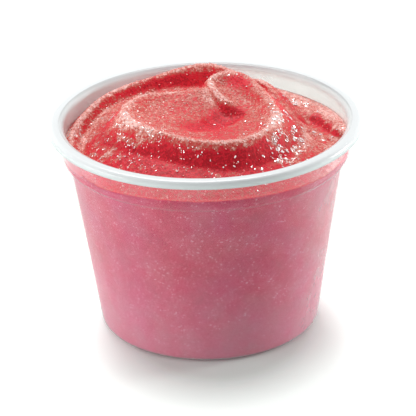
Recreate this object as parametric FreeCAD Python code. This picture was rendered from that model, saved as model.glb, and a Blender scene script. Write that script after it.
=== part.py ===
"""Frozen fruit juice cup: an open, thin-walled plastic cup with a turned lip,
filled with soft frozen juice that is piped into a swirl above the lip.

Frame: millimetres, +Z up, origin at the centre of the foot, on the surface
that the cup stands on. Angles run counter-clockwise from +X, seen from above.
"""
import FreeCAD, Part
import math
import os

# ---- cup, driving dimensions --------------------------------------------
CUP_HEIGHT = 51.5       # foot to the top of the lip
SHELL = 0.6             # thickness of the formed sheet
COLLAR_RADIUS = 34.0    # outside of the straight band under the lip
COLLAR_DEPTH = 8.6      # lip plane down to the sharp lower corner of the band
LIP_WIDTH = 3.0         # the lip stands out this far past the band
LIP_SKIRT = 1.8         # height of the lip's turned-down edge
SHOULDER_WIDTH = 1.45   # the band stands out this far past the tapered wall
SHOULDER_FALL = 0.6     # height of the sloping shoulder under the band
FOOT_RADIUS = 26.0      # outside of the tapered wall at the foot
FOOT_RING = 3.6         # width of the ring that the cup stands on
BASE_RISE = 1.0         # the middle of the base stands this far off the surface

# radii of the bends, on the outer or under side of the sheet
FOOT_BEND = 2.1
WAIST_BEND = 0.6        # where the tapered wall meets the shoulder
COLLAR_BEND = 0.9       # where the shoulder meets the band
NECK_BEND = 0.9         # where the band turns out into the lip
LIP_BEND = 0.3          # where the lip turns down
RECESS_BEND = 0.8       # each side of the slope up to the raised base

# ---- frozen filling, driving dimensions ---------------------------------
FILL_DROP = 5.3         # lip plane down to the filling at the wall
SWIRL_RISE = 10.1       # filling at the wall up to the highest crest
GRID_STEP = 0.9         # spacing of the heights that shape the top
CREST_ROUNDING = 0.8    # how far out a crest is rounded
SEAM = 0.25             # softness where two parts of the ribbon meet
SOFT_SEAM = 0.4         # softness where the ribbon meets the bed under it

# Slopes of the ribbon's flanks, in mm down for each mm out.
RING_SLOPE = 1.3
LOOP_SLOPE = 1.75
TONGUE_SLOPE = 1.9
FOLD_SLOPES = (0.9, 1.5)        # left and right side of the fold
INNER_FOLD_SLOPES = (0.6, 0.35)
LOOP_HOLLOW = (2.1, 3.4)        # depth of the loop's inside, and how far in it is reached
TONGUE_HOLLOW = (1.5, 2.6)

# The bed rises from the wall towards the middle.
BED_RISE = 3.7
BED_REACH = 0.6         # share of the inner radius where it has risen fully
BED_BULGE = 1.7         # steepness of the rise near the wall
BANK_START = 0.35       # share of the even slope in the outer turn's bank down to the wall
CREVICE_WIDTH = 0.147   # share of the inner radius
CREVICE_DEPTH = 0.4

# Changes round the cup: an angle, how many degrees they reach to each side,
# and how much is added there.
LOBE_AT_WALL = [(5, 25, 1.0)]
LOOP_EASES = [(5, 60, -0.75), (170, 45, -0.45), (90, 40, -0.9)]
TONGUE_EASES = [(0, 60, -0.9)]
BED_CHANGES = [(205, 60, 1.6), (15, 45, -2.3)]
FRONT_SAG = [(270, 60, -1.0), (215, 25, -1.2), (325, 25, -1.2)]
CREVICES = [(176, 30, 1), (12, 20, 1)]

# Crest lines of the piped ribbon. Each waypoint is an angle in degrees, a
# distance from the axis as a share of the cup's inner radius, and a height
# as a share of SWIRL_RISE.
OUTER_TURN = [
    (209, 0.96, -0.02), (190, 0.96, 0.03), (170, 0.94, 0.17), (149, 0.89, 0.43),
    (132, 0.85, 0.53), (117, 0.825, 0.60), (98, 0.815, 0.77), (88, 0.815, 0.80),
    (79, 0.79, 0.74), (66, 0.77, 0.54), (52, 0.755, 0.24), (32, 0.74, 0.18),
    (21, 0.79, 0.18), (15, 0.86, 0.18), (1, 0.95, 0.13)]
LOOP = [
    (124, 0.39, 0.76), (157, 0.49, 0.87), (187, 0.58, 0.92), (209, 0.60, 0.93),
    (235, 0.58, 0.90), (265, 0.61, 0.83), (290, 0.63, 0.79), (317, 0.58, 0.78),
    (345, 0.515, 0.77), (13, 0.45, 0.74), (41, 0.40, 0.64), (72, 0.38, 0.68),
    (97, 0.36, 0.73)]
TONGUE = [
    (317, 0.58, 0.78), (345, 0.515, 0.77), (15, 0.475, 0.81), (42, 0.50, 0.90),
    (61, 0.55, 0.99), (75, 0.54, 0.99), (85, 0.445, 0.92), (80, 0.33, 0.84),
    (58, 0.245, 0.75), (32, 0.25, 0.66), (16, 0.31, 0.60), (350, 0.37, 0.55),
    (320, 0.47, 0.60)]
FOLD = [
    (66, 0.66, 0.67), (52, 0.69, 0.67), (37, 0.64, 0.52), (25, 0.63, 0.41),
    (8, 0.645, 0.30), (355, 0.80, 0.09)]
INNER_FOLD = [
    (170, 0.35, 0.68), (148, 0.30, 0.705), (126, 0.295, 0.73), (109, 0.32, 0.76),
    (96, 0.35, 0.78), (82, 0.36, 0.79)]
DIP_PLACE = (302, 0.10)     # angle and share of the inner radius of the deepest place in the loop
DIP_ALONG = 40              # direction of the dip's long side, degrees
DIP_SIZE = (8.5, 4.5)       # half length and half width of the dip
DIP_DEPTH = 1.8


# ---- plain geometry -----------------------------------------------------
def offset_line(points, gap):
    """Shift an open outline of (r, z) corners by gap to its left side."""
    shifted = []
    normals = []
    for (r0, z0), (r1, z1) in zip(points, points[1:]):
        run = math.hypot(r1 - r0, z1 - z0)
        normals.append((-(z1 - z0) / run, (r1 - r0) / run))
    for i, (r, z) in enumerate(points):
        before = normals[max(i - 1, 0)]
        after = normals[min(i, len(normals) - 1)]
        share = gap / (1 + before[0] * after[0] + before[1] * after[1])
        shifted.append((r + (before[0] + after[0]) * share, z + (before[1] + after[1]) * share))
    return shifted


def bent_radii(points, radii, gap):
    """Bend radii of the offset outline, for bends of the given radii."""
    result = [0]
    for before, here, after, radius in zip(points, points[1:], points[2:], radii):
        turn = (here[0] - before[0]) * (after[1] - here[1]) - (here[1] - before[1]) * (after[0] - here[0])
        result.append(radius - gap if turn > 0 else radius + gap)
    return result + [0]


def rounded_edges(points, radii):
    """Edges of an open outline of (r, z) corners, each rounded by its radius."""
    edges = []
    start = FreeCAD.Vector(points[0][0], 0, points[0][1])
    for before, here, after, radius in zip(points, points[1:], points[2:], radii[1:]):
        corner = FreeCAD.Vector(here[0], 0, here[1])
        back = FreeCAD.Vector(before[0], 0, before[1]).sub(corner).normalize()
        ahead = FreeCAD.Vector(after[0], 0, after[1]).sub(corner).normalize()
        half = back.getAngle(ahead) / 2
        if radius <= 0:
            edges.append(Part.LineSegment(start, corner).toShape())
            start = corner
            continue
        reach = radius / math.tan(half)
        middle = back.add(ahead).normalize().multiply(radius / math.sin(half) - radius)
        enter = corner.add(FreeCAD.Vector(back).multiply(reach))
        leave = corner.add(FreeCAD.Vector(ahead).multiply(reach))
        edges.append(Part.LineSegment(start, enter).toShape())
        edges.append(Part.Arc(enter, corner.add(middle), leave).toShape())
        start = leave
    end = FreeCAD.Vector(points[-1][0], 0, points[-1][1])
    edges.append(Part.LineSegment(start, end).toShape())
    return edges


def line_between(first, second):
    """Straight edge between two (r, z) points."""
    return Part.LineSegment(FreeCAD.Vector(first[0], 0, first[1]),
                            FreeCAD.Vector(second[0], 0, second[1])).toShape()


def spin(edges):
    """Solid of revolution about Z of a closed outline in the XZ plane."""
    wire = Part.Wire(Part.sortEdges(edges)[0])
    return Part.Face(wire).revolve(FreeCAD.Vector(0, 0, 0), FreeCAD.Vector(0, 0, 1), 360)


# ---- the sheet of the cup -----------------------------------------------
UNDERSIDE = [
    (0, BASE_RISE),
    (FOOT_RADIUS - FOOT_RING - 2 * BASE_RISE, BASE_RISE),
    (FOOT_RADIUS - FOOT_RING, 0),
    (FOOT_RADIUS, 0),
    (COLLAR_RADIUS - SHOULDER_WIDTH, CUP_HEIGHT - COLLAR_DEPTH - SHOULDER_FALL),
    (COLLAR_RADIUS, CUP_HEIGHT - COLLAR_DEPTH),
    (COLLAR_RADIUS, CUP_HEIGHT - SHELL),
    (COLLAR_RADIUS + LIP_WIDTH - SHELL, CUP_HEIGHT - SHELL),
    (COLLAR_RADIUS + LIP_WIDTH - SHELL, CUP_HEIGHT - LIP_SKIRT)]
UNDER_BENDS = [RECESS_BEND, RECESS_BEND + SHELL, FOOT_BEND, WAIST_BEND, COLLAR_BEND, NECK_BEND, LIP_BEND]
INSIDE = offset_line(UNDERSIDE, SHELL)
INSIDE_BENDS = bent_radii(UNDERSIDE, UNDER_BENDS, SHELL)
INNER_RADIUS = COLLAR_RADIUS - SHELL


def make_cup():
    """The whole cup: one sheet of even thickness from the base to the lip's edge."""
    under = rounded_edges(UNDERSIDE, [0] + UNDER_BENDS)
    inside = rounded_edges(INSIDE, INSIDE_BENDS)
    lip_edge = line_between(UNDERSIDE[-1], INSIDE[-1])
    axis = line_between(UNDERSIDE[0], INSIDE[0])
    return spin(under + inside + [lip_edge, axis])


# ---- the swirl ----------------------------------------------------------
def crest_line(waypoints, closed):
    """Smooth path of (x, y, height) through the waypoints of a crest."""
    steps = 8
    corners = []
    for angle, share, rise in waypoints:
        reach = share * INNER_RADIUS
        corners.append((reach * math.cos(math.radians(angle)),
                        reach * math.sin(math.radians(angle)), rise * SWIRL_RISE))
    if closed:
        corners = [corners[-1]] + corners + corners[:2]
    else:
        corners = [corners[0]] + corners + [corners[-1]]
    path = []
    for a, b, c, d in zip(corners, corners[1:], corners[2:], corners[3:]):
        for k in range(steps):
            t = k / steps
            path.append(tuple(
                b[i] + 0.5 * t * (c[i] - a[i] + t * (2 * a[i] - 5 * b[i] + 4 * c[i] - d[i]
                                                     + t * (3 * (b[i] - c[i]) + d[i] - a[i])))
                for i in range(3)))
    path.append(corners[-2])
    return path


def look_from(path, x, y):
    """Distance to a crest, on its left side or not, its height as seen from
    here, and whether the crest runs round this place."""
    nearest = 1e9
    left = False
    weights = 0
    heights = 0
    turned = 0
    for (ax, ay, ah), (bx, by, bh) in zip(path, path[1:]):
        dx = bx - ax
        dy = by - ay
        ux = x - ax
        uy = y - ay
        run = dx * dx + dy * dy
        t = min(max((ux * dx + uy * dy) / run, 0), 1)
        gap = (ux - t * dx) ** 2 + (uy - t * dy) ** 2
        cross = dx * uy - dy * ux
        if gap < nearest:
            nearest = gap
            left = cross > 0
        weight = math.sqrt(run) / (gap + 0.3) ** 1.5
        weights += weight
        heights += weight * (ah + t * (bh - ah))
        turned += math.atan2(cross, ux * (ux - dx) + uy * (uy - dy))
    return math.sqrt(nearest), left, heights / weights, abs(turned) > math.pi


def flank(distance, slope):
    """Drop from a rounded crest down an even slope."""
    return slope * (math.hypot(distance, CREST_ROUNDING) - CREST_ROUNDING)


def hollow(distance, size):
    """Drop from a crest into a shallow hollow of a depth and a width."""
    return size[0] * (1 - math.exp(-(distance / size[1]) ** 2))


def round_cup(angle, changes):
    """Sum of the changes that reach this angle."""
    total = 0
    for middle, width, change in changes:
        apart = (angle - middle + 180) % 360 - 180
        total += change * math.exp(-(apart / width) ** 2)
    return total


def blend_up(low, high, softness):
    """The higher of two heights, with a soft seam."""
    top = max(low, high)
    seam = math.log(math.exp((low - top) / softness) + math.exp((high - top) / softness))
    return top + softness * seam


def dip(x, y):
    """Depth of the dip in the middle of the loop."""
    middle = math.radians(DIP_PLACE[0])
    across = math.radians(DIP_ALONG)
    ux = x - DIP_PLACE[1] * INNER_RADIUS * math.cos(middle)
    uy = y - DIP_PLACE[1] * INNER_RADIUS * math.sin(middle)
    along = (ux * math.cos(across) + uy * math.sin(across)) / DIP_SIZE[0]
    aside = (uy * math.cos(across) - ux * math.sin(across)) / DIP_SIZE[1]
    return DIP_DEPTH * math.exp(-(along * along + aside * aside) ** 1.5)


def outer_turn_height(x, y, angle, to_wall, path):
    """The turn along the wall: a bank out to the wall and a steep inner flank."""
    distance, left, crest, _ = look_from(path, x, y)
    if not left:
        return crest - flank(distance, RING_SLOPE)
    share = distance / (distance + to_wall + 1e-6)
    at_wall = round_cup(angle, LOBE_AT_WALL + FRONT_SAG)
    return crest + (at_wall - crest) * share * (BANK_START + (1 - BANK_START) * share)


def loop_height(x, y, angle, path):
    """The closed loop on top, with its hollow inside."""
    distance, _, crest, within = look_from(path, x, y)
    slope = LOOP_SLOPE + round_cup(angle, LOOP_EASES)
    return crest - (hollow(distance, LOOP_HOLLOW) if within else flank(distance, slope))


def tongue_height(x, y, angle, path):
    """The ribbon's flat end, laid over the loop."""
    distance, _, crest, within = look_from(path, x, y)
    slope = TONGUE_SLOPE + round_cup(angle, TONGUE_EASES)
    return crest - (hollow(distance, TONGUE_HOLLOW) if within else flank(distance, slope))


def ridge_height(x, y, path, slopes):
    """A fold with its own slope on each side."""
    distance, left, crest, _ = look_from(path, x, y)
    return crest - flank(distance, slopes[0] if left else slopes[1])


def bed_height(angle, radius):
    """The bed under the swirl, with a narrow crevice along part of the wall."""
    beside = round_cup(angle, CREVICES)
    start = INNER_RADIUS * (1 - CREVICE_WIDTH * beside)
    share = min(max((start - radius) / (start - BED_REACH * INNER_RADIUS), 0), 1)
    rise = BED_RISE + round_cup(angle, BED_CHANGES)
    sag = round_cup(angle, FRONT_SAG) * (1 - share)
    return rise * share * (BED_BULGE + (1 - BED_BULGE) * share) + sag - CREVICE_DEPTH * beside


def swirl_height(x, y, crests):
    """Height of the filling over (x, y), measured from its level at the wall."""
    outer_turn, loop, tongue, fold, inner_fold = crests
    radius = math.hypot(x, y)
    angle = math.degrees(math.atan2(y, x))
    to_wall = max(INNER_RADIUS - radius, 0)

    inner = ridge_height(x, y, inner_fold, INNER_FOLD_SLOPES)
    height = blend_up(loop_height(x, y, angle, loop), inner, SEAM)
    height = blend_up(height, tongue_height(x, y, angle, tongue), SEAM) - dip(x, y)
    height = blend_up(height, outer_turn_height(x, y, angle, to_wall, outer_turn), SEAM)
    height = blend_up(height, bed_height(angle, radius), SOFT_SEAM)
    return blend_up(height, ridge_height(x, y, fold, FOLD_SLOPES), SEAM)


def make_filling():
    """The frozen juice: the cup's inside, with the swirl as its top."""
    above = CUP_HEIGHT + SWIRL_RISE
    outline = INSIDE[:6] + [(INNER_RADIUS, above)]
    edges = rounded_edges(outline, INSIDE_BENDS[:6] + [0])
    edges.append(line_between(outline[-1], (0, above)))
    edges.append(line_between((0, above), outline[0]))
    block = spin(edges)

    crests = (crest_line(OUTER_TURN, False), crest_line(LOOP, True),
              crest_line(TONGUE, True), crest_line(FOLD, False), crest_line(INNER_FOLD, False))
    half = math.ceil((INNER_RADIUS + 1) / GRID_STEP)
    level = CUP_HEIGHT - FILL_DROP
    heights = []
    for i in range(-half, half + 1):
        row = []
        for j in range(-half, half + 1):
            row.append(level + swirl_height(i * GRID_STEP, j * GRID_STEP, crests))
        heights.append(row)
    top = Part.BSplineSurface()
    top.interpolate(heights, -half * GRID_STEP, GRID_STEP, -half * GRID_STEP, GRID_STEP)
    air = top.toShape().extrude(FreeCAD.Vector(0, 0, 2 * above))
    return block.cut(air)


os.makedirs("parts", exist_ok=True)
NODES = {"cup": make_cup, "frozen_filling": make_filling}
for name, make in NODES.items():
    shape = make()
    solid = shape.Solids[0]
    solid.exportStep("parts/" + name + ".step")
    print(name, "solids", len(shape.Solids), "valid", solid.isValid(), "ml", round(solid.Volume / 1000, 2))
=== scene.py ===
# %% [markdown]
# # A frozen fruit juice cup
#
# A thin milky plastic cup is filled with frozen red juice, which was piped in
# while it was soft and so stands above the lip in a swirl of folds. The packed
# model gives the exact shape. This file dresses it: one sheet of plastic, one
# body of frozen juice with an icy skin, and loose frost and ice on top.
#
# +Z is up and the cup stands on the plane Z = 0. The world is in metres. Sizes
# below are in millimetres and are multiplied by MM where they enter the world.

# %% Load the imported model
import math

import bmesh
import bpy
import numpy as np
from mathutils import Matrix, Quaternion, Vector, noise
from mathutils.bvhtree import BVHTree


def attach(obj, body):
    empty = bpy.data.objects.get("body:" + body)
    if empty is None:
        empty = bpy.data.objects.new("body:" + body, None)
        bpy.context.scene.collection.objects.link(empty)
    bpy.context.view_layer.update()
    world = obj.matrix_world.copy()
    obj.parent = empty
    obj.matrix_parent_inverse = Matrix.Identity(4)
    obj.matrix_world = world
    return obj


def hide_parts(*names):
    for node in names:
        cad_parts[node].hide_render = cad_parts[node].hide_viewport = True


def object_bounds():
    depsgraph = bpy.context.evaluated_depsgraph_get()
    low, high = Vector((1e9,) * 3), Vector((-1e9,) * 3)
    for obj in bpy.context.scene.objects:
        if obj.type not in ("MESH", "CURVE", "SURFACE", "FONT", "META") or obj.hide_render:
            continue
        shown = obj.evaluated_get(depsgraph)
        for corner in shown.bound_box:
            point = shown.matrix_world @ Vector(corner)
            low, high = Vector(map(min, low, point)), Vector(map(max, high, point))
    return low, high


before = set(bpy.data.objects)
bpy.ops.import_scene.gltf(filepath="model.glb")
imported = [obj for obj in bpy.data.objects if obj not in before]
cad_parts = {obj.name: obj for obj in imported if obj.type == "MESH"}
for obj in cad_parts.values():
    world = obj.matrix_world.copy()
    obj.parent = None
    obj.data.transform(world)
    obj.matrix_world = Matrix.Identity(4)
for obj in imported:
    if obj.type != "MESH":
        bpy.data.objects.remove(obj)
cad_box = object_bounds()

MM = 0.001
dice = np.random.default_rng(7)
print("model box in mm:", [[round(c / MM, 2) for c in corner] for corner in cad_box])

# %% [markdown]
# ## The sizes of the cup
#
# The cup is one sheet of even thickness, so its whole shape is an outline of
# the underside with a bend radius at each corner. The numbers are the ones
# that the solid model was built from, which keeps the piece on its solid.

# %% Outline of the sheet
CUP_HEIGHT = 51.5       # foot to the top of the lip
SHELL = 0.6             # thickness of the sheet
COLLAR_RADIUS = 34.0    # outside of the straight band under the lip
COLLAR_DEPTH = 8.6
LIP_WIDTH = 3.0
LIP_SKIRT = 1.8         # height of the lip's turned-down edge
SHOULDER_WIDTH = 1.45   # the band stands out this far past the tapered wall
SHOULDER_FALL = 0.6
FOOT_RADIUS = 26.0
FOOT_RING = 3.6         # width of the ring that the cup stands on
BASE_RISE = 1.0         # the middle of the base stands this far off the table

LIP_EDGE = COLLAR_RADIUS + LIP_WIDTH - SHELL
UNDERSIDE = [           # radius, height and bend radius of each corner
    (0, BASE_RISE, 0),
    (FOOT_RADIUS - FOOT_RING - 2 * BASE_RISE, BASE_RISE, 0.8),
    (FOOT_RADIUS - FOOT_RING, 0, 1.4),
    (FOOT_RADIUS, 0, 2.1),
    (COLLAR_RADIUS - SHOULDER_WIDTH, CUP_HEIGHT - COLLAR_DEPTH - SHOULDER_FALL, 0.6),
    (COLLAR_RADIUS, CUP_HEIGHT - COLLAR_DEPTH, 0.9),
    (COLLAR_RADIUS, CUP_HEIGHT - SHELL, 0.9),
    (LIP_EDGE, CUP_HEIGHT - SHELL, 0.4),
    (LIP_EDGE, CUP_HEIGHT - LIP_SKIRT, 0)]
print("corners in the outline:", len(UNDERSIDE))

# %% [markdown]
# ## The sheet of plastic
#
# A real cup like this is pressed from a warm flat sheet. In Blender a lathe
# does the same job: the outline is a short chain of vertices, and spin turns
# it about Z. Spinning first and rounding afterwards keeps the outline short,
# because each sharp ring is then bevelled with its own radius. The sheet gets
# its thickness last, with solidify, so it's even all the way round the bends.

# %% Spin the outline
SPIN_STEPS = 256
BEND_SEGMENTS = 5


def spun_outline(corners, steps):
    """The outline of (radius, height, bend) corners, turned about Z."""
    bm = bmesh.new()
    chain = [bm.verts.new((r * MM, 0, z * MM)) for r, z, _ in corners]
    links = [bm.edges.new(pair) for pair in zip(chain, chain[1:])]
    bmesh.ops.spin(bm, geom=chain + links, cent=(0, 0, 0), axis=(0, 0, 1),
                   angle=2 * math.pi, steps=steps, use_merge=True)
    bmesh.ops.remove_doubles(bm, verts=bm.verts, dist=0.01 * MM)
    return bm


sheet = spun_outline(UNDERSIDE, SPIN_STEPS)
print("sheet after the spin:", len(sheet.verts), "vertices")

# %% Round each ring
RING_MATCH = 0.02       # a vertex this close to a corner, in mm, is on its ring


def turn_at(before, here, after):
    """How far the outline turns at a corner, in radians."""
    first = math.atan2(here[1] - before[1], here[0] - before[0])
    second = math.atan2(after[1] - here[1], after[0] - here[0])
    return abs(second - first)


def round_ring(bm, corner, radius, turn, segments):
    """Bevel the ring of edges at one corner, and say how many edges it had."""
    def on_ring(vert):
        return (abs(math.hypot(vert.co.x, vert.co.y) - corner[0] * MM) < RING_MATCH * MM
                and abs(vert.co.z - corner[1] * MM) < RING_MATCH * MM)
    ring = [edge for edge in bm.edges if on_ring(edge.verts[0]) and on_ring(edge.verts[1])]
    bmesh.ops.bevel(bm, geom=ring, offset=radius * math.tan(turn / 2) * MM,
                    offset_type="OFFSET", segments=segments, profile=0.5,
                    affect="EDGES", material=-1)
    return len(ring)


for before, here, after in zip(UNDERSIDE, UNDERSIDE[1:], UNDERSIDE[2:]):
    edges = round_ring(sheet, here, here[2], turn_at(before, here, after), BEND_SEGMENTS)
    print("rounded a ring of", edges, "edges at radius", round(here[0], 2))

# %% Give the sheet its thickness
bmesh.ops.recalc_face_normals(sheet, faces=sheet.faces)
bmesh.ops.solidify(sheet, geom=sheet.faces[:], thickness=-SHELL * MM)
print("sheet with its thickness:", len(sheet.faces), "faces")


# %% From a bmesh to an object
def finished(bm, name, materials, smooth=True):
    """Turn a bmesh into an object in the scene."""
    mesh = bpy.data.meshes.new(name)
    for face in bm.faces:
        face.smooth = smooth
    bm.to_mesh(mesh)
    bm.free()
    piece = bpy.data.objects.new(name, mesh)
    bpy.context.scene.collection.objects.link(piece)
    for material in materials:
        mesh.materials.append(material)
    box = np.array([v.co for v in mesh.vertices]) / MM
    print(name, len(mesh.polygons), "faces, box in mm", box.min(0).round(2), box.max(0).round(2))
    return piece


# %% [markdown]
# ## A kit for materials
#
# All materials are made of nodes, so that they need no pictures. The same few
# kinds of node come back each time: noise, crystals, a stretched range, a sum
# and a colour ramp. A small kit makes each in one short call. Every texture
# reads the object's own coordinates in metres, so a size is a real size.

class Kit:
    """A node tree, with a short way to add each kind of node that is used below."""

    def __init__(self, tree):
        self.nodes, self.links = tree.nodes, tree.links

    def fill(self, socket, value):
        """Link a socket, or set it where the value is a plain one."""
        if isinstance(value, bpy.types.NodeSocket):
            self.links.new(value, socket)
        else:
            socket.default_value = value

    def put(self, node, **values):
        """Fill a node's sockets. Their names have underscores here for spaces."""
        for name, value in values.items():
            self.fill(node.inputs[name.replace("_", " ")], value)
        return node

    def add(self, kind, **values):
        return self.put(self.nodes.new("ShaderNode" + kind), **values)

    def place(self):
        return self.add("TexCoord").outputs["Object"]

    def axes(self, place):
        return self.add("SeparateXYZ", Vector=place).outputs

    def between(self, source, low, high, start, end):
        """The range from low to high becomes start to end, and stops there."""
        return self.add("MapRange", Value=source, From_Min=low, From_Max=high,
                        To_Min=start, To_Max=end).outputs[0]

    def over(self, source, low, high, start, end):
        """The same, with low and high in millimetres."""
        return self.between(source, low * MM, high * MM, start, end)

    def calc(self, kind, first, *others, clamp=False):
        """One sum after the other, from left to right. Only the last is clamped."""
        for left, other in zip(range(len(others) - 1, -1, -1), others):
            node = self.nodes.new("ShaderNodeMath")
            node.operation = kind
            node.use_clamp = clamp and left == 0
            self.fill(node.inputs[0], first)
            self.fill(node.inputs[1], other)
            first = node.outputs[0]
        return first

    def clouds(self, size, place, detail=2.0, roughness=0.5):
        """Soft noise with clouds about so many mm across."""
        return self.add("TexNoise", Scale=1 / (size * MM), Detail=detail, Roughness=roughness,
                        Vector=place).outputs[0]

    def crystals(self, size, place):
        """Cells about so many mm across: the distance in each, and its three chance numbers."""
        cells = self.add("TexVoronoi", Scale=1 / (size * MM), Vector=place)
        chances = self.add("SeparateColor", Color=cells.outputs["Color"]).outputs
        return cells.outputs["Distance"], chances

    def ramp(self, source, stops):
        """Colours along a line from 0 to 1."""
        node = self.nodes.new("ShaderNodeValToRGB")
        elements = node.color_ramp.elements
        while len(elements) < len(stops):
            elements.new(0.5)
        for element, (position, colour) in zip(elements, stops):
            element.position = position
            element.color = colour
        self.fill(node.inputs[0], source)
        return node.outputs[0]

    def mixed(self, share, first, second):
        """The first colour, with a share of the second."""
        node = self.nodes.new("ShaderNodeMix")
        node.data_type = "RGBA"
        return self.put(node, Factor=share, A=first, B=second).outputs["Result"]


def new_material(name):
    """A material, its kit and its Principled shader."""
    material = bpy.data.materials.new(name)
    material.use_nodes = True
    kit = Kit(material.node_tree)
    return material, kit, kit.nodes["Principled BSDF"]


def linear(red, green, blue):
    """A colour in 0 to 255, as light."""
    light = (c / 255 / 12.92 if c <= 10 else ((c / 255 + 0.055) / 1.055) ** 2.4
             for c in (red, green, blue))
    return (*light, 1)


print("a middle grey as light:", round(linear(128, 128, 128)[0], 3))

# %% [markdown]
# ## Milky plastic
#
# The plastic lets most light through but scatters some of it, so a strong
# colour behind it turns pale and soft. A simple way that also survives an
# export is one Principled shader that is partly see-through: where the juice
# touches the sheet little of it is needed, and the lip, which is seen edge on,
# is nearly solid. High up at the back no juice backs the sheet, so there its
# own milky white has to show; it is more solid on the left, as painted shade,
# and more see-through on the right, where the white background stands in for
# light. The foot is made paler, and the right side gets a painted glow,
# mottled by the mist, in place of the right lamp's shine. A mist of noise keeps
# the whole wall from looking too clean.

# %% How solid the plastic looks
WALL_SOLID = 0.13       # share of the light that the wall stops
# painted shade: the bare wall is more solid on the left, so it looks shaded, and more see-through
# on the right, where the white background stands in for light
BARE_SOLID = 0.62       # the same high up at the back, on the left
BARE_SOLID_RIGHT = 0.31
NECK_SOLID = 0.56       # the same where the sheet turns out under the lip
LIP_SOLID = 0.97
GLANCE_SOLID = 0.3      # added where the sheet is seen edge on
FOOT_PALE = 0.10        # added at the foot
# painted glow: the plastic is paler on the right, in place of the right lamp's shine
PAINTED_GLOW_RIGHT = 0.17        # added on the right

plastic, kit, skin = new_material("milky plastic")
place = kit.place()
x, y, z = kit.axes(place)
radius = kit.calc("POWER", kit.calc("ADD", kit.calc("MULTIPLY", x, x),
                                    kit.calc("MULTIPLY", y, y)), 0.5)
in_lip = kit.over(radius, COLLAR_RADIUS + 0.1, COLLAR_RADIUS + 0.9, 0, LIP_SOLID)
near_lip = kit.over(z, CUP_HEIGHT - 4, CUP_HEIGHT - 0.6, 0, NECK_SOLID)
# more solid on the left and more see-through on the right: painted shade on the left, painted
# light on the right
bare = kit.calc("MULTIPLY", kit.over(z, CUP_HEIGHT - 8, CUP_HEIGHT - 6.5, 0, 1),
                kit.over(y, -26, -8, 0.1, 1), kit.over(x, -12, 14, BARE_SOLID, BARE_SOLID_RIGHT))
mist = kit.clouds(5, place, detail=5)
wall = kit.between(mist, 0.35, 0.75, WALL_SOLID - 0.03, WALL_SOLID + 0.05)
at_foot = kit.over(z, 3, 22, FOOT_PALE, 0)
# painted glow on the right, mottled by the mist, in place of the right lamp's shine
painted_glow_at_side = kit.calc("MULTIPLY", kit.over(x, 18, 29, 0, PAINTED_GLOW_RIGHT),
                   kit.between(mist, 0.25, 0.75, 0.3, 1))
solid_share = kit.calc("MAXIMUM", in_lip, near_lip, kit.calc("ADD", wall, at_foot, painted_glow_at_side), bare)
print("plastic: wall", WALL_SOLID, "neck", NECK_SOLID, "lip", LIP_SOLID)

# %% [markdown]
# At a glancing angle a ray runs a longer way through the sheet and more of it
# is mirrored, so Layer Weight adds to the solid share there, as on glass. Under
# the front of the lip the juice's red light in the sheet is painted into the
# sheet's colour: a painted pink glow.

# %% The plastic's surface
PLASTIC_COLOUR = linear(226, 230, 231)
# painted glow: pink in the sheet's colour under the front of the lip, for the red light that the
# juice throws into it
PAINTED_RED_GLOW = linear(255, 182, 198)
PAINTED_RED_GLOW_SHARE = 0.75

edge_on = kit.calc("POWER", kit.add("LayerWeight", Blend=0.5).outputs["Facing"], 3)
share = kit.calc("ADD", solid_share, kit.calc("MULTIPLY", edge_on, GLANCE_SOLID), clamp=True)
painted_red_glow = kit.calc("MULTIPLY", kit.over(z, CUP_HEIGHT - 1.9, CUP_HEIGHT - 3, 0, 1),
                    kit.over(z, CUP_HEIGHT - 8, CUP_HEIGHT - 6, 0, 1),
                    kit.over(y, 4, -16, 0, PAINTED_RED_GLOW_SHARE))
kit.put(skin, Base_Color=kit.mixed(painted_red_glow, PLASTIC_COLOUR, PAINTED_RED_GLOW), Roughness=0.24, IOR=1.49)
clear = kit.add("BsdfTransparent")
blend = kit.add("MixShader")
for socket, value in zip(blend.inputs, (share, clear.outputs[0], skin.outputs[0])):
    kit.fill(socket, value)
kit.put(kit.nodes["Material Output"], Surface=blend.outputs[0])

cup = finished(sheet, "cup_sheet", [plastic])
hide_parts("cup")
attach(cup, "root")

# %% [markdown]
# ## The body of frozen juice
#
# The top of the juice is a landscape: a turn along the wall, a loop laid over
# it and the ribbon's end on top. Its shape is already in the solid, so a fine
# square grid is pressed into a disc, and each vertex is dropped onto the
# solid. The grid is finer than the solid's own facets, which leaves room for
# the grainy relief that freezing gives.

# %% Press a square grid into a disc
GRID = 284
BITE = 0.35             # the juice reaches this far into the sheet, so no air shows between
REACH = COLLAR_RADIUS - SHELL + BITE


def to_disc(u, v):
    """A point of the square in the disc, with evenly spread area."""
    side = max(abs(u), abs(v))
    if side == 0:
        return 0.0, 0.0
    if abs(u) >= abs(v):
        angle = math.pi / 4 * v / u
        sign = math.copysign(1, u)
    else:
        angle = math.pi / 2 - math.pi / 4 * u / v
        sign = math.copysign(1, v)
    return sign * side * math.cos(angle) * REACH, sign * side * math.sin(angle) * REACH


juice = bmesh.new()
bmesh.ops.create_grid(juice, x_segments=GRID, y_segments=GRID, size=1)
count = math.isqrt(len(juice.verts))
where = {}
for vert in juice.verts:
    column = round((vert.co.x + 1) / 2 * (count - 1))
    row = round((vert.co.y + 1) / 2 * (count - 1))
    where[vert.index] = (row, column)
    vert.co.x, vert.co.y = (c * MM for c in to_disc(vert.co.x, vert.co.y))
print("grid of", count, "by", count, "vertices")

# %% Drop it onto the solid
INSIDE_EDGE = 0.1       # the outermost rays fall this far inside the solid's edge
RAY_START = Vector((0, 0, 0.1))
DOWN = Vector((0, 0, -1))

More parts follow.
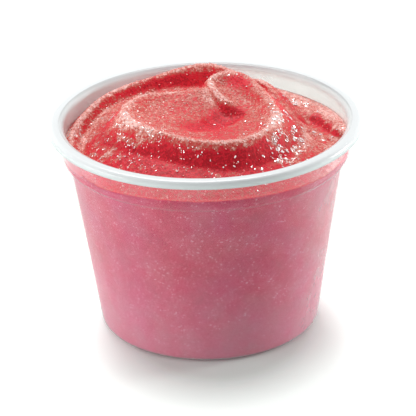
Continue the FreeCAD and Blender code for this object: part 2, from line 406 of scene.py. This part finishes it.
solid = BVHTree.FromObject(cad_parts["frozen_filling"],
                           bpy.context.evaluated_depsgraph_get())
X, Y, Z = (np.zeros((count, count)) for _ in range(3))
for vert in juice.verts:
    x, y = vert.co.x / MM, vert.co.y / MM
    keep = min(1, (COLLAR_RADIUS - SHELL - INSIDE_EDGE) / max(math.hypot(x, y), 1e-6))
    hit = solid.ray_cast(RAY_START + Vector((x * keep * MM, y * keep * MM, 0)), DOWN)[0]
    row, column = where[vert.index]
    X[row, column], Y[row, column], Z[row, column] = x, y, hit.z / MM
print("top of the juice from", Z.min().round(2), "to", Z.max().round(2), "mm")

# %% [markdown]
# ## Where frost sits, with painted light and shade
#
# Frost grows where the air reaches: on crests and on gentle slopes. Steep
# flanks stay wet and deep red. So the frost follows two facts of the shape,
# the slope and how far a point stands above its surroundings. The same number
# also carries painted light: pale tops and crests stand in for the light from
# above, and deep red flanks for painted shade. Fine streaks are drawn
# downhill, as melt water would run, by averaging a speckle along the slope.

# %% Slope and crests
STEP = 2 * REACH / (count - 1)


def blurred(field, reach):
    """The field, smoothed over a reach in mm."""
    width = int(3 * reach / STEP) + 1
    weights = np.exp(-0.5 * (np.arange(-width, width + 1) * STEP / reach) ** 2)
    weights /= weights.sum()
    for axis in (0, 1):
        margin = [(width, width) if a == axis else (0, 0) for a in (0, 1)]
        padded = np.pad(field, margin, mode="edge")
        field = sum(w * np.take(padded, range(k, k + count), axis=axis)
                    for k, w in enumerate(weights))
    return field


def ease(low, high, value):
    """From 0 at low to 1 at high, with soft ends."""
    t = np.clip((value - low) / (high - low), 0, 1)
    return t * t * (3 - 2 * t)


Z = blurred(Z, 0.25)
Zv, Zu = np.gradient(Z)
Xv, Xu = np.gradient(X)
Yv, Yu = np.gradient(Y)
area = Xu * Yv - Xv * Yu
area[np.abs(area) < 1e-6] = 1e-6
east = blurred((Zu * Yv - Zv * Yu) / area, 0.3)
north = blurred((Zv * Xu - Zu * Xv) / area, 0.3)
slope = np.hypot(east, north)
crest = Z - blurred(Z, 1.6)
print("steepest", slope.max().round(2), "crest from", crest.min().round(2),
      "to", crest.max().round(2))

# %% Streaks down the slope
STREAK_STEPS = 5        # steps that a streak runs to each side
STREAK_STEP = 0.2       # the length of one, in mm


def look_up(field, rows, columns):
    rows, columns = (np.clip(place, 0, count - 1).astype(int) for place in (rows, columns))
    return field[rows, columns]


down_u = (Yv * east - Xv * north) / area / (slope + 0.05)
down_v = (Xu * north - Yu * east) / area / (slope + 0.05)
speckle = dice.random((count, count))
rows, columns = np.mgrid[0:count, 0:count].astype(float)
streak = speckle.copy()
for way in (1, -1):
    r, c = rows.copy(), columns.copy()
    for _ in range(STREAK_STEPS):
        du, dv = look_up(down_u, r, c), look_up(down_v, r, c)
        r += way * dv * STREAK_STEP
        c += way * du * STREAK_STEP
        streak += look_up(speckle, r + 0.5, c + 0.5)
streak = (streak - streak.mean()) / streak.std()
print("streaks made, spread", streak.std().round(2))

# %% [markdown]
# Slope and crests alone would give frost that is too even. Noise of two sizes
# breaks it up, most of all in the bed round the swirl, and short lists of
# round patches say where frost gathered, which crests were smoothed and where
# the juice is bared to deep red: partly melt, and partly painted shade in the
# dip inside the loop and the tongue, in the crevice and on the front flank.
# Along the wall at the right a fringe of frost has crept up, and the front is
# wiped nearly bare: wet, and darker still as painted shade under the lip.

# %% Noise on the grid
def noise_field(size):
    """Smooth noise on the surface, with bumps about so many mm across."""
    return np.array([[noise.noise(Vector(p) / size) for p in zip(*line)]
                     for line in zip(X, Y, Z)])


broad, middling = noise_field(5.5), noise_field(1.7)
print("noise fields from", broad.min().round(2), "to", broad.max().round(2))

# %% Patches: x, y, size and how much they change
DULL_CRESTS = [         # crests that carry little frost
    (-22.5, 18, 7, 0.4), (-26, 11, 7, 0.5), (-26, 1, 6, 0.7), (16, 8, 5, 0.8),
    (17, 0, 4.5, 0.75), (-12, 26, 5, 0.25), (14, 16, 4, 0.3), (-6.5, -17, 5, 0.5)]
# partly melt and partly painted shade: these patches make the dip, the crevice and the front
# flank deep red
MELTED_AND_SHADED = [              # inside the loop and the tongue, the crevice and the front
    (-3.5, -6.0, 2.8, -0.42), (0.8, -3.0, 3.2, -0.5), (4.6, 0.4, 3.0, -0.5),
    (7.6, 2.4, 2.4, -0.42), (3.8, 2.0, 2.4, -0.8), (8.2, 14.5, 2.4, -0.5),
    (10.5, 12.0, 1.6, -0.25), (-6.5, 3, 4, -0.1), (29.2, 3.2, 1.5, -0.8),
    (26.6, 7.4, 1.4, -0.75), (31.0, 0.4, 1.3, -0.8), (27.8, 5.4, 1.1, -0.5),
    (-17.0, -16.6, 1.6, -0.45), (-18.7, -18.7, 1.6, -0.35), (16.5, -16.9, 1.2, -0.3),
    (18.1, -17.5, 1.4, -0.2), (3.5, -8, 4.5, -0.22), (3.3, -13.5, 3, -0.18),
    (12, -9.5, 4, -0.22), (-6, -14, 4, -0.12)]
GATHERED = [            # the tongue's edge, the bed and the flanks
    (1.5, 8.6, 2.0, 0.34), (3.4, 7.0, 1.8, 0.4), (5.8, 5.2, 1.6, 0.34),
    (1.2, 11.5, 1.8, 0.2), (28.4, 4.6, 0.6, 0.5), (30.2, 1.6, 0.6, 0.5),
    (24, 16, 4, 0.25), (29, 10, 3, 0.25), (20, 22, 4, 0.3), (18.5, -9.5, 4.5, 0.42),
    (20, -3, 4, 0.25), (16.5, 5, 3.5, 0.12), (16, -15.5, 3, 0.14), (-20, -10, 5, 0.16),
    (-15, -15, 3.5, 0.10), (-30, 6, 4, 0.28), (-26.5, 14, 3.5, 0.2), (-23, -7, 4.5, 0.24),
    (-18.5, -13, 4, 0.2), (-27, 0, 3.5, 0.12), (-22.7, 18.1, 2.2, 0.2),
    (-27.9, 11.3, 2.0, 0.15), (2.5, 11.9, 1.6, 0.16)]


def gather(patches):
    """All the patches of a list, added up."""
    return sum(change * np.exp(-((X - x) ** 2 + (Y - y) ** 2) / size ** 2)
               for x, y, size, change in patches)


print("patches:", len(DULL_CRESTS), "dull,", len(MELTED_AND_SHADED), "melted,", len(GATHERED), "gathered")

# %% The frost, with painted light and shade
FLAT_FROST_AND_LIGHT = 0.42       # on gentle slopes
CREST_FROST_AND_LIGHT = 0.43      # on crests
# the front near the lip is wiped of frost: wet there, and pushed below zero as painted shade
# under the lip
FRONT_WIPE_AND_SHADE = 0.48       # taken off the wet front
FRINGE = 0.6            # along the wall
BROAD, MIDDLING = 0.32, 0.30    # shares of the two noises
CLOTS = 0.9             # small clots on the wet front
STREAKS = 0.04
BY_WALL = 0.24          # held along the front wall, where the band of the cup shows it
# lowest value: below zero the red turns darker than wet juice, as painted shade
WETTEST_AND_SHADED = -0.08

far = np.hypot(X, Y)    # distance from the axis
around = np.arctan2(Y, X)


def facing(angle, low, high):
    """The side that faces an angle in radians, with soft ends."""
    return ease(low, high, np.cos(around - angle))


front = facing(math.radians(-98), 0.35, 0.9)
flat = 1 - ease(0.5, 1.15, slope)
ridge = ease(0.16, 0.60, crest) * np.clip(1 - gather(DULL_CRESTS), 0, 1)
# paler on gentle slopes and crests, deep red on steep flanks: partly frost, partly painted light
# from above and painted shade on the flanks
frost_and_painted_light = FLAT_FROST_AND_LIGHT * flat + CREST_FROST_AND_LIGHT * ridge + gather(MELTED_AND_SHADED) + gather(GATHERED)
# wiped front: wet, and below zero painted shade under the lip
frost_and_painted_light -= FRONT_WIPE_AND_SHADE * ease(21, 25, far) * front * (1 - 0.5 * ridge)
frost_and_painted_light += FRINGE * ease(REACH - 5.5, REACH, far) * facing(0.45, 0.1, 0.8)
wild = 0.25 + 0.75 * ease(17, 22, far)
frost_and_painted_light += wild * (BROAD * broad + MIDDLING * middling) * ease(-0.15, 0.25, frost_and_painted_light)
frost_and_painted_light += CLOTS * np.clip(middling - 0.08, 0, 0.4) * ease(20, 23, far) * front
frost_and_painted_light += STREAKS * streak * ease(0.2, 0.8, slope) * ease(0.04, 0.3, frost_and_painted_light)
frost_and_painted_light += (BY_WALL - frost_and_painted_light) * ease(28.5, 31, far) * facing(-math.pi / 2, 0.45, 0.85)
frost_and_painted_light = np.clip(frost_and_painted_light, WETTEST_AND_SHADED, 1)
print("frost on average", frost_and_painted_light.mean().round(2))

# %% [markdown]
# ## Relief
#
# Freezing leaves the surface lumpy and grainy, and grainier where there is
# frost. The relief fades out at the rim, so that the juice still meets the
# sheet, and nothing rises above the solid's highest point.

# %% Grainy relief
LUMP = 0.10             # heights in mm for noise of full strength
GRAIN, FROSTY_GRAIN = 0.05, 0.07
HEADROOM = 0.01         # kept free under the highest point of the solid

lumps = noise_field(2.6)
grains = noise_field(0.62) + 0.6 * noise_field(0.33)
edge = 1 - ease(REACH - 1.2, REACH - 0.2, far)
relief = edge * (LUMP * lumps + (GRAIN + FROSTY_GRAIN * frost_and_painted_light) * grains)
ceiling = cad_box[1].z / MM
top = np.minimum(Z + relief, ceiling - HEADROOM)
for vert in juice.verts:
    vert.co.z = top[where[vert.index]] * MM
print("relief adds up to", relief.max().round(2), "mm")

# %% [markdown]
# ## The side of the juice
#
# Below the rim of the disc the juice fills the cup. The rim is extruded down
# the inside of the sheet, ring by ring, and the last ring is filled. The top
# carries the frost, with the light and shade painted into it, as a number on
# each vertex, which its material reads.

# %% Keep the frost and painted light on the vertices
frost_and_painted_light_layer = juice.verts.layers.float.new("frost_and_painted_light")
for vert in juice.verts:
    vert[frost_and_painted_light_layer] = frost_and_painted_light[where[vert.index]]
print("frost kept on", len(juice.verts), "vertices")

# %% Extrude the side
def moved_in(corners, gap):
    """The outline moved inwards by gap, corner by corner."""
    moved = []
    for index, (r, z, bend) in enumerate(corners):
        sides = []
        for one, two in ((index - 1, index), (index, index + 1)):
            if one >= 0 and two < len(corners):
                run = Vector(corners[two][:2]) - Vector(corners[one][:2])
                run.normalize()
                sides.append(Vector((-run.y, run.x)))
        middle = sides[0] + sides[-1]
        shift = middle * gap / (1 + sides[0].dot(sides[-1]))
        moved.append((r + shift.x, z + shift.y, bend))
    return moved


inside = moved_in(UNDERSIDE, SHELL - BITE)[1:6]
rim = [edge for edge in juice.edges if edge.is_boundary]
for radius, z, _ in reversed(inside):
    made = bmesh.ops.extrude_edge_only(juice, edges=rim)["geom"]
    for vert in (v for v in made if isinstance(v, bmesh.types.BMVert)):
        turn = math.atan2(vert.co.y, vert.co.x)
        vert.co = Vector((math.cos(turn) * radius, math.sin(turn) * radius, z)) * MM
        vert[frost_and_painted_light_layer] = 0
    for face in (f for f in made if isinstance(f, bmesh.types.BMFace)):
        face.material_index = 1
    rim = [e for e in made if isinstance(e, bmesh.types.BMEdge) and e.is_boundary]
closed = bmesh.ops.edgeloop_fill(juice, edges=rim)
for face in closed["faces"]:
    face.material_index = 1
bmesh.ops.recalc_face_normals(juice, faces=juice.faces)
print("side in", len(inside), "rings, closed with", len(closed["faces"]), "face")

# %% Round its foot, waist and collar
FOOT, WAIST, COLLAR = 2, 3, 4
ABOVE = (inside[COLLAR][0], CUP_HEIGHT)
for corner, segments in ((FOOT, 4), (WAIST, 2), (COLLAR, 3)):
    # moving inwards tightens a bend, apart from the waist's, which turns the other way
    change = SHELL - BITE if corner == WAIST else BITE - SHELL
    after = ABOVE if corner == COLLAR else inside[corner + 1]
    turn = turn_at(inside[corner - 1], inside[corner], after)
    edges = round_ring(juice, inside[corner], inside[corner][2] + change, turn, segments)
    print("rounded a ring of", edges, "edges at radius", round(inside[corner][0], 2))

# %% [markdown]
# ## Colours of the juice
#
# Seen from above, wet juice is a clear deep red. More frost makes it first
# duller, then salmon, then nearly white. Since the same number carries painted
# light, the ramp also paints light on tops and crests and shade on flanks and
# hollows. Each crystal gets its own step by chance, so the change is grainy and
# not a smooth wash. A little light travels under the skin, which softens the
# grain as in real ice.

# %% Material of the top
# the darkest stops, reached where the value falls below zero, are painted shade
ICY_COLOURS = [
    (0.0, linear(184, 10, 32)), (0.05, linear(218, 13, 42)), (0.2, linear(214, 34, 50)),
    (0.45, linear(193, 83, 73)), (0.7, linear(216, 135, 123)), (1.0, linear(244, 199, 191))]
CLOUDY, SPECKLED = 0.14, 0.24   # how far clouds and crystals sway the frost
SWAY_WHEN_WET = 0.6             # share of that where there is no frost

icy, kit, skin = new_material("frosted frozen juice")
place = kit.place()
frost_and_painted_light_in = kit.nodes.new("ShaderNodeAttribute")
frost_and_painted_light_in.attribute_name = "frost_and_painted_light"
frost_and_painted_light_in = frost_and_painted_light_in.outputs["Fac"]
hollow, chances = kit.crystals(0.42, place)
uneven = kit.calc("ADD", kit.between(kit.clouds(0.9, place, detail=4), 0.3, 0.7, -CLOUDY, CLOUDY),
                  kit.between(chances[0], 0, 1, -SPECKLED, SPECKLED))
swayed = kit.calc("MULTIPLY", uneven, kit.between(frost_and_painted_light_in, 0, 0.3, SWAY_WHEN_WET, 1))
amount = kit.calc("ADD", kit.between(frost_and_painted_light_in, WETTEST_AND_SHADED, 1, 0, 1), swayed, clamp=True)
bump = kit.add("Bump", Strength=0.6, Distance=0.12 * MM, Height=hollow)
kit.put(skin, Base_Color=kit.ramp(amount, ICY_COLOURS), Roughness=0.5, Specular_IOR_Level=0.25,
        Subsurface_Weight=0.15, Subsurface_Radius=(1.0, 0.2, 0.15), Subsurface_Scale=0.6 * MM,
        Normal=bump.outputs[0])
print("top of the juice:", len(ICY_COLOURS), "colours from wet to white")

# %% [markdown]
# Pressed against the wall the juice is murky: pink clouds, a bluish drift and
# fine pale flecks of ice, a little lighter toward the foot. In the band above
# the shoulder it's fresher and more orange. The line between the two is ragged
# and rises a little toward the front.

# %% Material of the side
MURK = [(0.0, linear(188, 24, 72)), (0.35, linear(208, 38, 84)), (0.65, linear(218, 78, 112)),
        (1.0, linear(232, 160, 176))]
FRESH = [(0.0, linear(244, 50, 84)), (0.6, linear(250, 84, 110)), (1.0, linear(252, 150, 160))]
BLUER = linear(200, 62, 122)
FOOT_PINK = linear(255, 120, 172)
MURK_MIDDLE = 0.38      # where on the ramp the murk lies, and what moves it from there
MURK_SWAY, GRIT_SWAY, FLECK = 0.22, 0.09, 0.42
DRIFT_SHARE, FOOT_SHARE = 0.32, 0.34
BAND_FOOT = CUP_HEIGHT - COLLAR_DEPTH + 0.5
RAGGED, RISE_IN_FRONT = 1.6, 2.5        # mm, for the line under the band

pressed, kit, skin = new_material("frozen juice against the wall")
place = kit.place()
x, y, z = kit.axes(place)
cloud = kit.clouds(6, place, detail=8, roughness=0.65)
_, chances = kit.crystals(0.36, place)
flecks = kit.calc("MULTIPLY", kit.calc("POWER", chances[0], 8), FLECK)
amount = kit.calc("ADD", kit.between(cloud, 0.3, 0.7, -MURK_SWAY, MURK_SWAY),
                  kit.between(chances[1], 0, 1, -GRIT_SWAY, GRIT_SWAY), MURK_MIDDLE, flecks,
                  clamp=True)
drift = kit.between(kit.clouds(13, place, detail=3), 0.42, 0.66, 0, DRIFT_SHARE)
body = kit.mixed(drift, kit.ramp(amount, MURK), BLUER)
body = kit.mixed(kit.over(z, 4, 24, FOOT_SHARE, 0), body, FOOT_PINK)
ragged = kit.calc("ADD", z, kit.calc("MULTIPLY", cloud, RAGGED * MM))
line = kit.calc("SUBTRACT", ragged, kit.over(y, 0, -20, 0, RISE_IN_FRONT * MM))
in_band = kit.over(line, BAND_FOOT, BAND_FOOT + 0.4, 0, 1)
kit.put(skin, Base_Color=kit.mixed(in_band, body, kit.ramp(amount, FRESH)), Roughness=0.5,
        Specular_IOR_Level=0.3)

filling = finished(juice, "frozen_juice", [icy, pressed])
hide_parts("frozen_filling")
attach(filling, "root")

# %% [markdown]
# ## Loose frost and ice
#
# Frost also stands on the surface as loose grains, and small clear splinters
# of ice catch the light, most of all down the right flank and at the left
# front. A thick cluster of them at the left wall is a painted highlight: it
# stands in for the shine on the inner wall there. Each is a ball of twenty
# faces from create_icosphere, squashed and turned by chance, and all of one
# kind are joined in one mesh. Particles would be quicker to set up, but they
# don't survive an export.

# %% Scatter helper
BATCH = 60              # a mesh grows quicker when balls join it in batches
JITTER = 0.12           # mm, off the grid's vertices
LIFT = 0.25             # share of its size that a ball is raised
FLATNESS = (0.5, 0.9)   # height for each mm of width


def surface_frame(row, column):
    """A place on the top, the way straight out, and a turn with X downhill and Z out."""
    climb = Vector((east[row, column], north[row, column], 0))
    out = Vector((-climb.x, -climb.y, 1)).normalized()
    downhill = Vector((-climb.x - 1e-4, -climb.y, -climb.length_squared)).normalized()
    turn = Matrix((downhill, out.cross(downhill), out)).transposed().to_quaternion()
    return Vector((X[row, column], Y[row, column], top[row, column])), out, turn


def scatter(chance, number, sizes, stretch, swing, grown):
    """So many balls on the surface, of sizes and stretches between two limits.

    They are more likely where chance is high and larger where grown is. Their
    long side points downhill, give or take a swing in radians.
    """
    whole, bm = bmesh.new(), bmesh.new()
    odds = (chance / chance.sum()).ravel()
    for made, spot in enumerate(dice.choice(odds.size, number, p=odds), 1):
        row, column = divmod(int(spot), count)
        place, out, turn = surface_frame(row, column)
        size = sizes[0] + (sizes[1] - sizes[0]) * dice.random() ** 2 * grown[row, column]
        place += Vector(dice.uniform(-JITTER, JITTER, 3)) + out * size * LIFT
        turn = turn @ Quaternion((0, 0, 1), dice.uniform(-swing, swing))
        shape = Vector((size * dice.uniform(*stretch), size, size * dice.uniform(*FLATNESS)))
        place.z = min(place.z, ceiling - shape.x - HEADROOM)
        matrix = Matrix.LocRotScale(place * MM, turn, shape * MM)
        bmesh.ops.create_icosphere(bm, subdivisions=1, radius=1, matrix=matrix)
        if made % BATCH == 0 or made == number:
            batch = bpy.data.meshes.new("batch")
            bm.to_mesh(batch)
            bm.free()
            bm = bmesh.new()
            whole.from_mesh(batch)
            bpy.data.meshes.remove(batch)
    bm.free()
    return whole


on_top = 1 - ease(REACH - 1.1, REACH - 0.8, far)
print("share of the top that can carry grains:", on_top.mean().round(2))

# %% Grains of frost
RIME_COLOURS = [(0.3, linear(232, 130, 122)), (0.6, linear(246, 196, 188)),
                (0.8, linear(250, 226, 222))]
rime, kit, skin = new_material("rime")
tint = kit.clouds(1.5, kit.place())
kit.put(skin, Base_Color=kit.ramp(tint, RIME_COLOURS), Roughness=0.3)
grain_mesh = scatter(on_top * (frost_and_painted_light ** 2 + 0.03), 6500, sizes=(0.08, 0.19), stretch=(0.7, 1.5),
                     swing=3, grown=np.ones_like(Z))
grain_piece = finished(grain_mesh, "frost_grains", [rime], smooth=False)
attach(grain_piece, "root")

# %% Splinters of ice
WET = [                 # where splinters gather: x, y, size and how thickly
    (19, -8.5, 3.4, 0.9), (18.5, -3, 3.2, 0.4), (18.3, -13.5, 2.8, 0.9), (17.3, -17.5, 2.4, 0.7),
    (-20, -9, 5, 0.45), (-14, -17, 4.5, 0.45), (-5, -21, 4, 0.2), (6, -22, 4, 0.15),
    # the thick patch at (-31.6, 3.0) by the left wall is a painted highlight, in place of the
    # shine on the inner wall
    (-31.6, 3.0, 1.8, 2.2), (-26, 0, 4, 0.2), (22, 16, 3, 0.3)]
ice, kit, skin = new_material("clear ice")
tint = kit.clouds(2.5, kit.place())
clear_white = kit.ramp(tint, [(0.35, linear(250, 236, 234)), (0.6, linear(254, 252, 252))])
kit.put(skin, Base_Color=clear_white, Roughness=0.12, Metallic=0.6)
wet = (gather(WET) + 0.012) * np.clip(0.4 + 2.5 * middling, 0, 1)
splinter_mesh = scatter(on_top * wet, 950, sizes=(0.08, 0.32), stretch=(0.9, 2.4), swing=0.9,
                        grown=0.4 + 0.6 * ease(-8, 14, X))
splinter_piece = finished(splinter_mesh, "ice_splinters", [ice], smooth=False)
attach(splinter_piece, "root")

# %% [markdown]
# ## Floor, light and camera
#
# The cup stands on white paint that runs out into a white background. Near the
# cup the floor keeps the soft shadow, but from about 29 to 100 mm out it also
# glows to the camera alone: painted light that lightens the outer shadow and
# keeps it narrow and a little off centre. Further out it glows, to the camera
# alone, so that it ends in plain white and no edge shows. The paint near the
# cup leans to green, which cancels the pink that the juice throws on it.

# %% Floor
GLOW_REACH = 400
# distance and strength of the camera-only glow: the ring from 29 to 100 mm is painted light that
# trims the shadow; from 180 mm out it is the white backdrop
GLOW = [(29, 0), (46, 0.5), (62, 0.5), (100, 0.06), (180, 0.06), (360, 1)]   # distance, strength
NEAR_PAINT, FAR_PAINT = (0.82, 0.95, 0.90, 1), (0.90, 0.90, 0.90, 1)

paint, kit, skin = new_material("white table")
# the painted light is stretched in X and moved a little, so the shadow it leaves is narrower in X
# and a little off centre
shifted = kit.nodes.new("ShaderNodeVectorMath")     # the shadow is narrower in X
shifted.operation = "MULTIPLY_ADD"
for socket, value in zip(shifted.inputs, (kit.place(), (1.4, 1, 0), (-3 * MM, 4 * MM, 0))):
    kit.fill(socket, value)
length = kit.nodes.new("ShaderNodeVectorMath")
length.operation = "LENGTH"
kit.fill(length.inputs[0], shifted.outputs[0])
away = kit.over(length.outputs["Value"], 0, GLOW_REACH, 0, 1)
glow = kit.ramp(away, [(d / GLOW_REACH, (g, g, g, 1)) for d, g in GLOW])
direct = kit.add("LightPath").outputs["Is Camera Ray"]
tone = kit.ramp(away, [(170 / GLOW_REACH, NEAR_PAINT), (280 / GLOW_REACH, FAR_PAINT)])
kit.put(skin, Base_Color=tone, Roughness=0.9, Specular_IOR_Level=0.1,
        Emission_Color=(1, 1, 1, 1), Emission_Strength=kit.calc("MULTIPLY", direct, glow))
table = bmesh.new()
bmesh.ops.create_grid(table, x_segments=8, y_segments=8, size=1.5)
floor = finished(table, "table", [paint])

# %% [markdown]
# A large soft lamp above and behind the cup draws the crests and lets the
# front flanks fall into deeper red. Two low lamps at the sides light the wall
# and give the lip its long soft shine. The air is white to the camera and in
# mirrors, but gives less light than that, so that the shadow stays.

# %% World and lamps
AIR_LIGHT = 0.45

world = bpy.data.worlds.new("studio")
bpy.context.scene.world = world
world.use_nodes = True
kit = Kit(world.node_tree)
rays = kit.add("LightPath").outputs
seen = kit.calc("MAXIMUM", rays["Is Camera Ray"], rays["Is Glossy Ray"],
                rays["Is Transmission Ray"])
kit.put(kit.nodes["Background"], Color=(1, 1, 1, 1),
        Strength=kit.between(seen, 0, 1, AIR_LIGHT, 1))


def softbox(name, place, aim, width, depth, power):
    """A rectangular lamp, in metres and watts."""
    lamp = bpy.data.lights.new(name, "AREA")
    lamp.shape = "RECTANGLE"
    lamp.size = width
    lamp.size_y = depth
    lamp.energy = power
    holder = bpy.data.objects.new(name, lamp)
    bpy.context.scene.collection.objects.link(holder)
    holder.location = place
    holder.rotation_euler = (Vector(aim) - Vector(place)).to_track_quat("-Z", "Y").to_euler()
    print("lamp", name, power, "W")


softbox("overhead", (-0.04, 0.22, 0.44), (0, 0, 0.04), 0.26, 0.2, 1.72)
softbox("left", (-0.44, -0.12, 0.07), (0, 0, 0.03), 0.3, 0.11, 1.0)
softbox("right", (0.42, 0.12, 0.07), (0, 0, 0.03), 0.1, 0.11, 1.2)

# %% [markdown]
# The camera stands twenty lip radii away with a long lens, as for a picture in
# a catalogue, and looks down on the filling. It aims a little under the lip.

# %% Camera
LOOK_DOWN = math.radians(23.2)
DISTANCE = 20 * (COLLAR_RADIUS + LIP_WIDTH) * MM
LENS = 271.2115         # mm, for a sensor 36 mm wide
ROLL = math.radians(-1.46)
AIM_DOWN = math.radians(1.64493)
AIM_RIGHT = math.radians(0.04881)

rim_centre = Vector((0, 0, CUP_HEIGHT * MM))
back = Vector((0, -math.cos(LOOK_DOWN), math.sin(LOOK_DOWN)))
camera = bpy.data.cameras.new("camera")
camera.sensor_width = 36
camera.lens = LENS
viewer = bpy.data.objects.new("camera", camera)
bpy.context.scene.collection.objects.link(viewer)
viewer.location = rim_centre + back * DISTANCE
viewer.rotation_mode = "QUATERNION"
roll = Quaternion((0, 0, 1), ROLL)
pitch = Quaternion((1, 0, 0), -AIM_DOWN)
yaw = Quaternion((0, 1, 0), -AIM_RIGHT)
viewer.rotation_quaternion = (-back).to_track_quat("-Z", "Y") @ roll @ pitch @ yaw
bpy.context.scene.camera = viewer
bpy.context.scene.view_settings.view_transform = "Standard"
print("camera", round(DISTANCE, 3), "m away, lens", round(camera.lens, 1), "mm")
